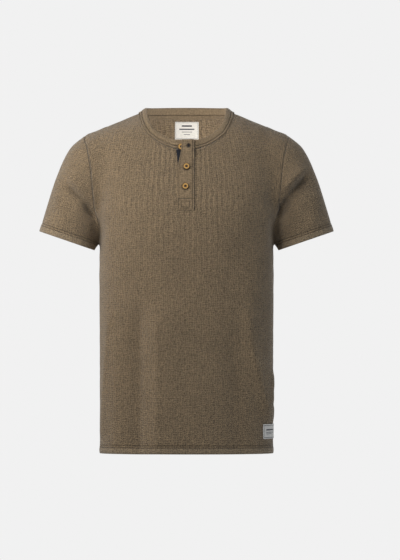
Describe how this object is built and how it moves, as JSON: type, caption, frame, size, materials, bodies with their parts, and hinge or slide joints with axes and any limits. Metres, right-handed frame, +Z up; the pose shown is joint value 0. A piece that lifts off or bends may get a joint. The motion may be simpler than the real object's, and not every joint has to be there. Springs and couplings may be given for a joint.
{
  "type": "henley shirt",
  "caption": "Short-sleeved henley shirt filled out as when worn, with a folded neckband, an open-topped button placket, turned hems and plain labels.",
  "frame": {"origin": "middle of the neck base, on the line between the two high shoulder points, where the wearer's shoulders carry the shirt", "axes": "+Z up, +X to the wearer's left, +Y to the back; the front faces -Y"},
  "size_m": [0.6012, 0.2314, 0.708],
  "materials": {
    "knit": "waffle knit, matt",
    "rib": "fine knit binding, matt",
    "tape": "herringbone tape, matt",
    "navy": "plain woven facing, matt",
    "wood": "satin",
    "label": "satin woven label"
  },
  "bodies": {
    "root": {"front": "knit", "back": "knit", "sleeve_left": "knit", "sleeve_right": "knit", "placket_over": "knit", "neckband": "rib", "neck_tape": "tape", "placket_under": "navy", "button_top": "wood", "button_middle": "wood", "button_lower": "wood", "neck_label": "label", "size_tab": "label", "side_label": "label"}
  },
  "joints": []
}
